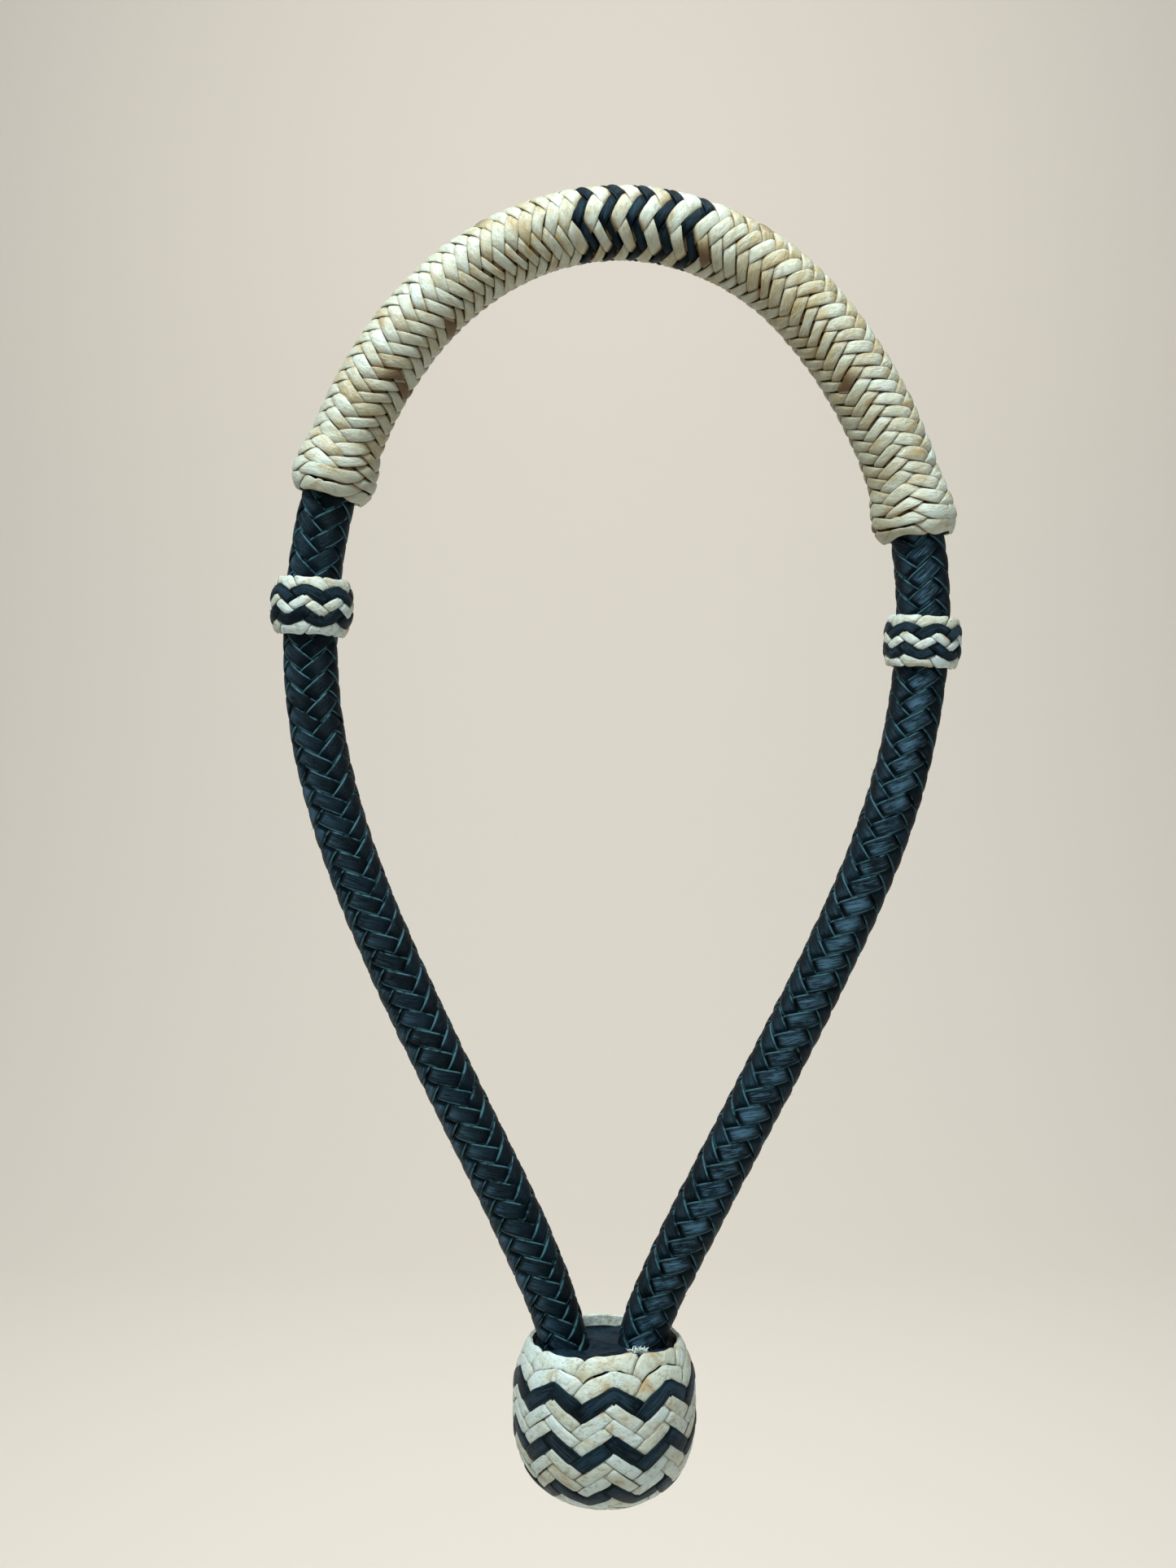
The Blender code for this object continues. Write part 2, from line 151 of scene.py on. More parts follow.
def ease(t):
    """Smooth step from 0 to 1."""
    t = np.clip(t, 0.0, 1.0)
    return t * t * (3 - 2 * t)


def cheek_surface(s, angle, lift):
    """The plait narrows into the heel knot, and the left cheek's plait twists below its button."""
    from_end = np.minimum(s - LINE.start, LINE.end - s)
    radius = np.interp(from_end, BODY_TAPER, CHEEK_RADIUS)
    lower, upper = CHEEK_TWIST_SPAN
    twist = CHEEK_TWIST * ease((s - lower) / (upper - lower))
    return LINE.around(s, angle + np.where(s < 0, twist, 0.0), radius + lift)


def nose_surface(s, angle, lift):
    """The nose button swells near its ends, and its weave is pulled askew at its middle."""
    pull = np.exp(-(s / NOSE_PULL_SPAN) ** 2)
    s = s - pull * (NOSE_PULL + NOSE_SQUEEZE * s)
    angle = angle - NOSE_PULL_TURN * pull
    from_end = NOSE_HALF_LENGTH - np.abs(s)
    inward = np.clip(1 - from_end / NOSE_FLARE_LENGTH, 0.0, 1.3)
    swell = np.sin(np.pi * np.clip(inward, 0, 1) / NOSE_FLARE_SPREAD)
    lip = np.clip(1 - from_end / (NOSE_LIP_SHARE * NOSE_FLARE_LENGTH), 0.0, 1.3)
    flared = NOSE_RADIUS + (NOSE_FLARE_RADIUS - NOSE_RADIUS) * swell
    radius = flared + (NOSE_LIP_RADIUS - flared) * lip ** NOSE_LIP_CURVE
    return LINE.around(s, angle, radius + lift)


class Turned:
    """A profile of (radius, height), walked by arc length from its first point, turned about an axis."""

    def __init__(self, profile, place):
        points = np.array(profile)
        steps = np.linalg.norm(np.diff(points, axis=0), axis=1)
        self.arc = np.concatenate([[0.0], np.cumsum(steps)])
        self.points = points
        tangent = np.gradient(points, self.arc, axis=0)
        tangent /= np.linalg.norm(tangent, axis=1)[:, None]
        self.normal = np.stack([tangent[:, 1], -tangent[:, 0]], axis=1)
        self.place = place

    def arc_at_height(self, height):
        return float(np.interp(height, self.points[:, 1], self.arc))

    def __call__(self, s, angle, lift):
        columns = (*self.points.T, *self.normal.T)
        radius, height, out, up = (np.interp(s, self.arc, column) for column in columns)
        return self.place(height + lift * up, angle, radius + lift * out)


def heel_place(height, angle, radius):
    """A point round the heel knot. Its lip stands a little higher where its strand is torn."""
    near = np.exp(8 * (np.cos(angle - LIP_SWELL_ANGLE) - 1))
    height = height + LIP_SWELL * near * ease(1 + height / LIP_SWELL_DEPTH)
    x = HEEL_AXIS_X + radius * np.cos(angle)
    return np.stack([x, radius * np.sin(angle), HEEL_MOUTH_Z + height], axis=-1)


def heel_profile():
    """From the hole at the bottom, up the outside, over the lip and a little way into the mouth."""
    below = np.linspace(1.0, 0.0, 60) ** 0.6
    power, root = HEEL_BOTTOM_CURVE
    low = [(HEEL_RADIUS * (1 - t ** power) ** root, -HEEL_RISE - HEEL_DROP * t) for t in below]
    low = [(radius, height) for radius, height in low if radius > HEEL_HOLE_RADIUS]
    shoulder = HEEL_RADIUS - HEEL_MOUTH_RADIUS
    above = np.linspace(0.02, 0.96, 40)
    high = [
        (HEEL_RADIUS - shoulder * t ** HEEL_SHOULDER_CURVE, -HEEL_RISE + HEEL_RISE * t) for t in above
    ]
    roll = HEEL_LIP_ROLL
    last_radius, last_height = high[-1]
    turn = np.linspace(0.25, 1.0, 12) * 0.85 * math.pi
    over = [
        (last_radius - roll + roll * math.cos(t), last_height + roll * math.sin(t)) for t in turn
    ]
    return low + high + over


def side_profile(radius, length):
    heights = np.linspace(-1.0, 1.0, 61)
    bulge = 1 - np.abs(heights) ** SIDE_BULGE_CURVE
    radii = SIDE_END_RADIUS + (radius - 0.75 * MM - SIDE_END_RADIUS) * bulge
    return list(zip(radii, heights * (length / 2 - 0.7 * MM)))


def side_place(centre):
    def place(height, angle, radius):
        x, z, tx, tz = LINE.at(centre)
        out = radius * np.cos(angle)
        return np.stack(
            [x + height * tx - out * tz, radius * np.sin(angle), z + height * tz + out * tx], axis=-1
        )
    return place


# ---------------------------------------------------------------- strands

class Strands:
    """Collects closed strips of strand and makes one mesh of them, with what its shader reads.

    along is in mm, across runs from -1 to 1 over the width, tint and seed are a float's and a
    strand's own number, lift is 1 on top and -1 underneath, and the last is how near it lies to
    the side that the light falls on, which steers painted highlights and painted shade.
    """

    VALUES = ("along", "across", "tint", "lift", "seed", "worn")
    SHARP_EDGE = math.radians(38)

    def __init__(self):
        self.verts, self.quads, self.caps = [], [], []
        self.values = {name: [] for name in self.VALUES}
        self.count = 0

    def add(self, rings, **values):
        """rings is (stations, ring points, 3); each value is one number, or one for each point."""
        stations, ring = rings.shape[:2]
        index = self.count + np.arange(stations * ring).reshape(stations, ring)
        beside = np.roll(index, -1, axis=1)
        quads = np.stack([index[:-1], index[1:], beside[1:], beside[:-1]], axis=-1)
        self.quads.append(quads.reshape(-1, 4))
        self.caps += [index[0], index[-1][::-1]]
        self.verts.append(rings.reshape(-1, 3))
        for name in self.VALUES:
            value = np.broadcast_to(values[name], (stations, ring))
            self.values[name].append(value.reshape(-1))
        self.count += stations * ring

    def make(self, name, paint):
        verts = np.concatenate(self.verts)
        quads = np.concatenate(self.quads)
        loops = np.concatenate([quads.reshape(-1), *self.caps])
        sizes = np.concatenate([np.full(len(quads), 4), [len(cap) for cap in self.caps]])
        starts = np.concatenate([[0], np.cumsum(sizes)[:-1]])
        mesh = bpy.data.meshes.new(name)
        mesh.vertices.add(len(verts))
        mesh.vertices.foreach_set("co", verts.astype(np.float32).reshape(-1))
        mesh.loops.add(len(loops))
        mesh.loops.foreach_set("vertex_index", loops.astype(np.int32))
        mesh.polygons.add(len(sizes))
        mesh.polygons.foreach_set("loop_start", starts.astype(np.int32))
        mesh.update(calc_edges=True)
        mesh.validate()
        for value_name, value in self.values.items():
            layer = mesh.attributes.new(value_name, "FLOAT", "POINT")
            layer.data.foreach_set("value", np.concatenate(value).astype(np.float32))
        mesh.shade_smooth()
        mesh.set_sharp_from_angle(angle=self.SHARP_EDGE)
        mesh.materials.append(paint)
        obj = bpy.data.objects.new(name, mesh)
        bpy.context.scene.collection.objects.link(obj)
        return obj


class Look:
    """The cross-section of a strand, and how irregular a hand made it."""

    def __init__(self, thickness, rise, fill, crown, power=3.5, wander=0.05, tilt=0.05, swell=0.12,
                 width=0.07):
        self.thickness, self.rise, self.fill, self.width = thickness, rise, fill, width
        self.wander, self.tilt, self.swell = wander, tilt, swell
        top = np.array([-1.0, -0.93, -0.72, -0.36, 0.0, 0.36, 0.72, 0.93, 1.0])
        drop = crown * np.abs(top) ** power
        self.across = np.concatenate([top, [0.94, -0.94]])
        self.heights = np.concatenate([thickness / 2 - drop, [-thickness / 2] * 2])


class Weave:
    """A herringbone braid: each strand goes over columns strands of the other hand, then under.

    A lattice carries it. u counts crossings round the surface and v counts them along it, and
    strands of one hand climb one v for each u while the others fall. In even columns the
    climbing strands are on top, in odd columns the falling ones. The zigzag rows that this
    makes have their peaks where an even column ends.
    """

    SAMPLES = 6
    SLOPE = 0.36
    UNEVEN_RISE = 0.12
    SPARSE_THIN = 0.20
    # Painted shade: how much darker the floats are where the braid is thin.
    SPARSE_SHADE = 0.32
    STAIN_TINT = 0.5
    STAIN_SPAN = 24 * MM
    # The tint that marks a float to be painted as a dark gap, a painted shade.
    GAP_TINT = -2.0

    def __init__(self, surface, columns, over, pitch, middle, look, seed, turn_deg):
        self.surface, self.over, self.pitch, self.middle = surface, over, pitch, middle
        self.look, self.turn = look, math.radians(turn_deg)
        self.around = columns * over
        self.random = np.random.default_rng(seed)
        probe = surface(np.array([middle, middle]), np.array([0.0, 0.1]), 0.0)
        radius = np.linalg.norm(probe[1] - probe[0]) / (2 * math.sin(0.05))
        self.step_mm = math.hypot(2 * math.pi * radius / self.around, pitch) / MM
        self.rims = None
        # The size of black strands, and within how many crossings the others make up for it.
        self.black_width, self.black_lift, self.among_black = 1.0, 0.0, None
        # Where the braid is thin, where along it is stained, and how many floats are painted as dark
        # gaps, a painted shade.
        self.sparse_angle, self.stained_at, self.gap_share = None, None, 0.0
        # The angle of the side that the light falls on, which steers painted highlights and painted
        # shade, and how narrow that side is.
        self.worn_angle, self.lit_focus = None, 7.0

    def floats(self, u, hand_of):
        """1 where a strand is on top and -1 where it is under, with short slopes between."""
        column = np.floor((u + 0.5) / self.over).astype(int)
        within = u + 0.5 - column * self.over

        def sign(c):
            return hand_of(c) * np.where(c % 2 == 0, 1.0, -1.0)

        def settled(gap):
            return 0.5 + 0.5 * np.sin(math.pi / 2 * np.clip(gap / self.SLOPE, 0, 1))

        here = sign(column)
        level = here + (sign(column - 1) - here) * (1 - settled(within))
        level += (sign(column + 1) - here) * (1 - settled(self.over - within))
        belly = 1 - (2 * within / self.over - 1) ** 2
        return level, belly * np.clip(level, 0, 1)

    def jitter(self, u, size):
        """A smooth random value along a strand, one new value for each column it crosses."""
        columns = np.arange(math.floor(u.min() / self.over) - 1, math.ceil(u.max() / self.over) + 3)
        centres = columns * self.over + (self.over - 1) / 2
        return np.interp(u, centres, self.random.uniform(-size, size, len(columns)))

    def per_float(self, u, level):
        """One random value from 0 to 1 for each float, blended where the strand is hidden."""
        seen = level > 0
        run = np.cumsum(np.diff(seen.astype(int), prepend=0) > 0)
        values = self.random.random(run.max() + 1)
        return np.interp(u, u[seen], values[run[seen]])

    def settle(self, u, v):
        """Near a rim, the scalloped ends of the rows are pushed towards one level."""
        if self.rims is None:
            return v
        low, high, flat, reach, lift = self.rims
        half = self.over / 2
        wave = np.cos(math.pi * (u - self.over) / self.over)
        below = np.exp(-np.maximum(high - half + half * wave - v, 0) / reach)
        above = np.exp(-np.maximum(v - (low + half + half * wave), 0) / reach)
        return v + flat * half * ((lift - wave) * below - (lift + wave) * above)

    def sparse(self, u):
        """1 at the angle where the strands are pulled thin, and less the further from it."""
        if self.sparse_angle is None:
            return np.zeros(len(u))
        angle = self.turn + 2 * math.pi * u / self.around
        return np.exp(5 * (np.cos(angle - self.sparse_angle) - 1))

    def strip(self, strands, u, v, cross_u, cross_v, hand_of, keep=None, is_black=False):
        """Adds one strand along (u, v) to strands, or the stretches of it that keep marks."""
        look = self.look
        level, belly = self.floats(u, hand_of)
        height = look.rise * (level * (1 + self.jitter(u, self.UNEVEN_RISE)) + look.swell * belly)
        width = 1 + self.jitter(u, look.width)
        width = width - (self.SPARSE_THIN + self.jitter(u, self.SPARSE_THIN)) * self.sparse(u)
        if is_black:
            height = height + self.black_lift
            width = width * self.black_width
        elif self.among_black is not None:
            width = width * (1 + (1 - self.black_width) * np.exp(-(v / self.among_black) ** 8))
        width = width[:, None]
        shift = self.jitter(u, look.wander)[:, None]
        tilt = self.jitter(u, look.tilt)[:, None]
        tints = self.per_float(u, level)
        # Painted shade: a share of the floats is marked to be painted as dark gaps.
        tints = np.where(tints < self.gap_share, self.GAP_TINT, tints)
        # Painted shade: floats darken where the braid is thin.
        tints = tints - self.SPARSE_SHADE * self.sparse(u)
        if self.stained_at is not None:
            away = (self.middle + v * self.pitch - self.stained_at) / self.STAIN_SPAN
            tints -= self.STAIN_TINT * np.exp(-away ** 2)
        seed = self.random.random()
        across = look.across[None, :]
        reach = across * look.fill * width + shift
        uu = u[:, None] + cross_u[:, None] * reach
        vv = self.settle(uu, v[:, None] + cross_v[:, None] * reach)
        lift = height[:, None] + look.heights[None, :] + tilt * across * look.thickness
        rings = self.surface(
            self.middle + vv * self.pitch, self.turn + 2 * math.pi * uu / self.around, lift
        )
        values = {
            "along": (u - u[0])[:, None] * self.step_mm,
            "across": across,
            "tint": tints[:, None],
            "lift": level[:, None],
            "seed": seed,
            "worn": 1.0,
        }
        # How near each point lies to the lit side, for painted highlights and painted shade.
        if self.worn_angle is not None:
            angle = self.turn + 2 * math.pi * uu / self.around
            values["worn"] = np.exp(self.lit_focus * (np.cos(angle - self.worn_angle) - 1))
        edges = [0, len(u)]
        if keep is not None:
            edges = np.flatnonzero(np.diff(np.concatenate([[0], keep.astype(int), [0]])))
        for first, last in zip(edges[::2], edges[1::2]):
            if last - first < 3:
                continue
            cut = slice(first, last)
            kept = {name: np.broadcast_to(value, rings.shape[:2])[cut] for name, value in values.items()}
            strands.add(rings[cut], **kept)

    def open_braid(self, strands, v_low, v_high):
        """Strands with cut ends, hidden under something at v_low and v_high."""
        count = int((v_high - v_low) * self.SAMPLES) + 1
        v = np.linspace(v_low, v_high, count)
        for hand in (1, -1):
            for k in range(0, self.around, 2):
                order = slice(None, None, hand)
                u, along = (hand * v + k)[order], v[order]
                cross_u = np.full(count, hand * 0.5)
                self.strip(strands, u, along, cross_u, np.full(count, -0.5), lambda column: hand)

    def turns(self, first, low, high):
        """Where the closed strand that holds climbing line first turns back: (u, v) after (u, v).

        The strands turn in nests, one inside the other, over * 2 crossings apart: the lower
        turns are where falling rows meet climbing rows, and the upper turns where they part.
        """
        over, half = self.over, self.around // 2
        corners, line = [], first
        while True:
            low_v = low + 2 * (-(line + low // 2) % over)
            high_v = high - 2 * ((line + (high - over) // 2) % over)
            corners += [(2 * line + low_v, low_v), (2 * line + high_v, high_v)]
            fall = line + high_v
            low_v = low + 2 * ((fall - low // 2) % over)
            line = fall - low_v
            if line % half == first % half:
                corners.append((2 * line + low_v, low_v))
                corners.append((2 * line + high_v, corners[1][1]))
                return np.array(corners, float)

    def knot(self, pick, low, high, bend, flat, reach, lift=0.0, black_rows=None):
        """Strands that turn back at both rims, low and high.

        pick(is_black) gives the collection that a stretch of strand goes to. Where black_rows
        is given, those zigzag rows are black; otherwise the innermost strand of each nest is.
        bend is how round the turns are. flat is how far the scallops of the rims are pushed
        level, reach how deep that goes, and lift how far outwards they all move.
        """
        self.rims = (low, high, flat, reach, lift)
        half = self.around // 2
        done = set()
        for first in range(half):
            if first in done:
                continue
            corners = self.turns(first, low, high)
            for corner in corners[:-2:2]:
                done.add(int(corner[0] - corner[1]) // 2 % half)
            nest = int(high - corners[1][1]) // 2
            tight = bend * (1 - 0.75 * nest / self.over)
            self.closed_strand(pick, corners, tight, black_rows, nest == self.over - 1)

    def closed_strand(self, pick, corners, bend, black_rows, is_black):
        hidden = corners[0][0] + self.over + (self.over - 1) / 2
        around = corners[-2][0] - corners[0][0]
        u = np.linspace(hidden, hidden + around, int(around * self.SAMPLES) + 1)
        nearest = np.abs(u[:, None] - corners[None, :, 0]).argmin(axis=1)
        corner_u, corner_v = corners[nearest].T
        upper = nearest % 2 == 1
        x = u - corner_u
        rounded = np.where(np.abs(x) < bend, x ** 2 / (2 * bend) + bend / 2, np.abs(x))
        v = corner_v + np.where(upper, -rounded, rounded)
        straight = ease(np.abs(x) / bend)
        hand = np.where(upper, -np.sign(x), np.sign(x))
        cross_u = 0.5 * hand * straight
        cross_v = -0.5 * straight - 1.03 * (1 - straight)
        splits = corners[:, 0] / self.over

        def hand_of(column):
            passed = np.searchsorted(splits, column + 0.5)
            return np.where(passed % 2 == 1, 1.0, -1.0)

        if black_rows is None:
            self.strip(pick(is_black), u, v, cross_u, cross_v, hand_of, is_black=is_black)
            return
        black = self.in_rows(u, v, hand, black_rows)
        before = self.random.bit_generator.state
        for colour in (False, True):
            self.random.bit_generator.state = before
            self.strip(pick(colour), u, v, cross_u, cross_v, hand_of, black == colour, colour)

    def in_rows(self, u, v, hand, rows):
        """Whether each point belongs to a float in one of these zigzag rows."""
        top_first = np.where(hand > 0, 0, self.over)
        period = 2 * self.over
        middle = (self.over - 1) / 2
        nearest = np.round((u - top_first - middle) / period)
        centre_u = nearest * period + top_first + middle
        centre_v = v + hand * (centre_u - u)
        row = np.round((centre_v - 0.5 * (1 - hand) - middle) / 2)
        return np.isin(row, rows)


# ---------------------------------------------------------------- materials

# Rawhide from stained to fresh, what lies on it, and the painted shade on its side away from
# the light, in its gaps, in its seams and in its crevices.
STRAW = ((0.34, 0.225, 0.085), (0.44, 0.37, 0.195), (0.55, 0.575, 0.455))
IVORY = ((0.61, 0.70, 0.645), (0.66, 0.80, 0.79))
PALE_FIBRE = (0.68, 0.80, 0.77)
AMBER_STAIN = (0.44, 0.28, 0.10)
BROWN_BLOTCH = (0.25, 0.19, 0.095)
OLIVE_SIDE_SHADE = (0.27, 0.235, 0.125)
GAP_SHADE_BROWN = (0.11, 0.055, 0.015)
SEAM_SHADE = (0.215, 0.125, 0.035)
CREVICE_SHADE = (0.145, 0.080, 0.022)

# Black leather from its darkest to its palest dye, a painted slate-blue highlight where the light
# falls, and its cut edges.
BLACK_DYE = ((0.0001, 0.0004, 0.0010), (0.0007, 0.0026, 0.0048), (0.003, 0.010, 0.018))
PAINTED_SHEEN_SLATE = (0.085, 0.190, 0.280)
PLAIT_EDGE = (0.062, 0.160, 0.195)
LACE_EDGE = (0.02, 0.05, 0.065)
FILLER_BLACK = ((0.0004, 0.0012, 0.0026), (0.009, 0.026, 0.042))

# The darkest and palest shade of the pieces inside the knots.
WOUND_RAWHIDE = ((0.16, 0.09, 0.03), (0.36, 0.24, 0.11))
CORE_RAWHIDE = ((0.10, 0.06, 0.025), (0.26, 0.16, 0.07))
LASHING = ((0.40, 0.34, 0.24), (0.66, 0.60, 0.47))


def node(tree, kind, **settings):
    made = tree.nodes.new(kind)
    for name, value in settings.items():
        setattr(made, name, value)
    return made


class Paint:
    """A Principled material whose inputs are built up from small node steps."""

    def __init__(self, name):
        self.material = bpy.data.materials.new(name)
        self.material.use_nodes = True
        self.tree = self.material.node_tree
        self.shader = self.tree.nodes["Principled BSDF"]

    def set(self, **values):
        for name, value in values.items():
            self.shader.inputs[name.replace("_", " ")].default_value = value

    def link(self, output, name):
        self.tree.links.new(output, self.shader.inputs[name])

    def value(self, name):
        return node(self.tree, "ShaderNodeAttribute", attribute_name=name).outputs["Fac"]

    def math(self, operation, a, b=0.0, c=0.0, clamp=False):
        made = node(self.tree, "ShaderNodeMath", operation=operation, use_clamp=clamp)
        for socket, item in zip(made.inputs, (a, b, c)):
            self.feed(socket, item)
        return made.outputs[0]

    def feed(self, socket, item):
        if isinstance(item, bpy.types.NodeSocket):
            self.tree.links.new(item, socket)
        else:
            socket.default_value = item

    def vector(self, x, y, z):
        made = node(self.tree, "ShaderNodeCombineXYZ")
        for socket, item in zip(made.inputs, (x, y, z)):
            self.feed(socket, item)
        return made.outputs[0]

    def noise(self, vector, scale, detail=3.0, roughness=0.55, distortion=0.0):
        made = node(self.tree, "ShaderNodeTexNoise")
        self.feed(made.inputs["Vector"], vector)
        made.inputs["Scale"].default_value = scale
        made.inputs["Detail"].default_value = detail
        made.inputs["Roughness"].default_value = roughness
        made.inputs["Distortion"].default_value = distortion
        return made.outputs["Fac"]

    def spread(self, value, low, high, to_low=0.0, to_high=1.0):
        made = node(self.tree, "ShaderNodeMapRange", interpolation_type="SMOOTHSTEP")
        for name, item in (("Value", value), ("From Min", low), ("From Max", high),
                           ("To Min", to_low), ("To Max", to_high)):
            self.feed(made.inputs[name], item)
        return made.outputs["Result"]

    def ramp(self, value, *stops):
        made = node(self.tree, "ShaderNodeValToRGB")
        self.feed(made.inputs["Fac"], value)
        elements = made.color_ramp.elements
        while len(elements) < len(stops):
            elements.new(0.5)
        for element, (position, colour) in zip(elements, stops):
            element.position = position
            element.color = (*colour, 1.0)
        return made.outputs["Color"]

    def mix(self, factor, a, b):
        made = node(self.tree, "ShaderNodeMix", data_type="RGBA")
        self.feed(made.inputs["Factor"], factor)
        self.feed(made.inputs["A"], a)
        self.feed(made.inputs["B"], b)
        return made.outputs["Result"]

    def colour(self, rgb):
        return (*rgb, 1.0)

    def bump(self, height, distance, strength=1.0, after=None):
        made = node(self.tree, "ShaderNodeBump")
        self.feed(made.inputs["Height"], height)
        made.inputs["Distance"].default_value = distance
        made.inputs["Strength"].default_value = strength
        if after is not None:
            self.tree.links.new(after, made.inputs["Normal"])
        return made.outputs["Normal"]


def strand_coordinates(paint):
    """(mm along, mm across, a number of its own) for each strand."""
    along = paint.value("along")
    across = paint.math("MULTIPLY", paint.value("across"), 2.0)
    own = paint.math("MULTIPLY", paint.value("seed"), 97.0)
    shifted = paint.math("ADD", along, paint.math("MULTIPLY", own, 13.0))
    return shifted, across, own


def cream_rawhide(name, straw, stain, shade_depth=0.75, side_shade=0.0, vary=0.34):
    """Ivory rawhide: each float its own shade, painted brown shade in its seams and crevices,
    and fibres along it.

    straw is how far the shades lean from ivory to straw, stain how much of it is stained, the
    next how dark the painted shade is in seams and crevices, the next how far the side away from
    the light is painted in olive shade, and vary how much the floats differ.
    """
    paint = Paint(name)
    along, across, own = strand_coordinates(paint)
    place = paint.vector(along, across, own)
    fibre = paint.noise(paint.vector(paint.math("MULTIPLY", along, 0.22), across, own), 2.6, 4.0, 0.6)
    cloud = paint.noise(place, 0.16, 3.0, 0.5, 0.6)
    mottle = paint.noise(place, 0.55, 4.0, 0.62, 0.3)
    tint = paint.value("tint")
    lift = paint.value("lift")
    shown = paint.math("MAXIMUM", tint, -0.5)
    own_shade = paint.math("MULTIPLY_ADD", shown, vary, 0.12 - 0.5 * vary - straw)
    shade = paint.math("MULTIPLY_ADD", cloud, 0.9, own_shade)
    base = paint.ramp(
        shade, (0.0, STRAW[0]), (0.20, STRAW[1]), (0.42, STRAW[2]), (0.64, IVORY[0]), (0.90, IVORY[1])
    )
    streak = paint.spread(fibre, 0.42, 0.70)
    base = paint.mix(paint.math("MULTIPLY", streak, 0.38), base, paint.colour(PALE_FIBRE))
    amber = paint.math("MULTIPLY", paint.spread(cloud, 0.42, 0.28), stain)
    base = paint.mix(amber, base, paint.colour(AMBER_STAIN))
    blotch = paint.math("MULTIPLY", paint.spread(mottle, 0.50, 0.72), stain)
    base = paint.mix(blotch, base, paint.colour(BROWN_BLOTCH))
    # Painted shade: the side away from the light is mixed towards olive brown.
    shaded_side = paint.math("MULTIPLY_ADD", paint.value("worn"), -side_shade, side_shade)
    base = paint.mix(shaded_side, base, paint.colour(OLIVE_SIDE_SHADE))
    # Painted shade: a few floats on the side away from the light are painted as dark brown gaps.
    gap = paint.math("MULTIPLY", paint.spread(tint, -1.2, -1.8), paint.spread(paint.value("worn"), 0.9, 0.5))
    base = paint.mix(paint.math("MULTIPLY", gap, 0.95), base, paint.colour(GAP_SHADE_BROWN))
    # Painted shade: brown where a strand passes under others and along the edges of each strand.
    low = paint.spread(lift, 0.62, -0.50)
    edge = paint.spread(paint.math("ABSOLUTE", paint.value("across")), 0.84, 1.0)
    seam_shade = paint.math(
        "MAXIMUM", paint.math("MULTIPLY", low, 0.95), paint.math("MULTIPLY", edge, 0.4 * shade_depth)
    )
    base = paint.mix(seam_shade, base, paint.colour(SEAM_SHADE))
    # Painted shade: dark brown in crevices, found by ambient occlusion.
    crevice = node(paint.tree, "ShaderNodeAmbientOcclusion", samples=6, only_local=False)
    crevice.inputs["Distance"].default_value = 1.6 * MM
    shut = paint.spread(crevice.outputs["AO"], 0.60, 0.18)
    base = paint.mix(paint.math("MULTIPLY", shut, shade_depth), base, paint.colour(CREVICE_SHADE))
    paint.link(base, "Base Color")
    rough = paint.spread(mottle, 0.3, 0.8, 0.36, 0.60)
    paint.link(rough, "Roughness")
    paint.set(Subsurface_Weight=0.06, Subsurface_Radius=(0.9, 0.5, 0.2), Subsurface_Scale=0.0010)
    paint.set(Specular_IOR_Level=0.5, IOR=1.5)
    ripple = paint.bump(fibre, 0.00018, 0.8)
    dents = paint.bump(mottle, 0.00045, 0.85, after=ripple)
    paint.link(dents, "Normal")
    return paint.material


def black_leather(name, edge_colour, edge_amount, gloss, sheen_amount):
    """Dyed strand: a near-black face with a soft fibrous sheen, in part a painted highlight, and
    paler cut edges.

    The last argument is how strongly a painted slate-blue highlight lies on the raised middles
    of the floats, on the side that the light falls on.
    """
    paint = Paint(name)
    along, across, own = strand_coordinates(paint)
    place = paint.vector(along, across, own)
    thread = paint.vector(paint.math("MULTIPLY", along, 0.09), across, own)
    fibre = paint.noise(thread, 3.2, 4.0, 0.72)
    mottle = paint.noise(place, 0.5, 4.0, 0.6)
    tint = paint.value("tint")
    shade = paint.math("MULTIPLY_ADD", tint, 0.45, paint.math("MULTIPLY", fibre, 0.55))
    base = paint.ramp(shade, *zip((0.25, 0.52, 0.80), BLACK_DYE))
    # Painted highlight: slate-blue sheen on the raised middles of floats, strongest on the lit side.
    middle = paint.spread(paint.math("ABSOLUTE", paint.value("across")), 0.95, 0.25)
    raised = paint.math("MULTIPLY", middle, paint.spread(paint.value("lift"), 0.7, 1.1))
    cloud = paint.noise(place, 0.11, 3.0, 0.5, 0.5)
    sheen_patch = paint.spread(paint.math("MULTIPLY_ADD", fibre, 1.6, cloud), 1.08, 1.56)
    worn = paint.math("MULTIPLY", paint.value("worn"), sheen_amount)
    sheen_patch = paint.math("MULTIPLY", paint.math("MULTIPLY", sheen_patch, raised), worn)
    base = paint.mix(sheen_patch, base, paint.colour(PAINTED_SHEEN_SLATE))
    edge = paint.spread(paint.math("ABSOLUTE", paint.value("across")), 0.74, 0.93)
    broken = paint.spread(paint.noise(place, 0.30, 3.0, 0.6), 0.36, 0.56)
    line = paint.math("MULTIPLY", paint.math("MULTIPLY", edge, broken), edge_amount)
    base = paint.mix(line, base, paint.colour(edge_colour))
    paint.link(base, "Base Color")
    rough = paint.spread(paint.math("ADD", fibre, mottle), 0.7, 1.3, gloss, gloss + 0.22)
    paint.link(rough, "Roughness")
    paint.set(Specular_IOR_Level=0.17, IOR=1.5, Specular_Tint=(0.50, 0.82, 1.0, 1.0))
    ripple = paint.bump(fibre, 0.00030, 1.0)
    dents = paint.bump(mottle, 0.00014, 0.5, after=ripple)
    paint.link(dents, "Normal")
    return paint.material


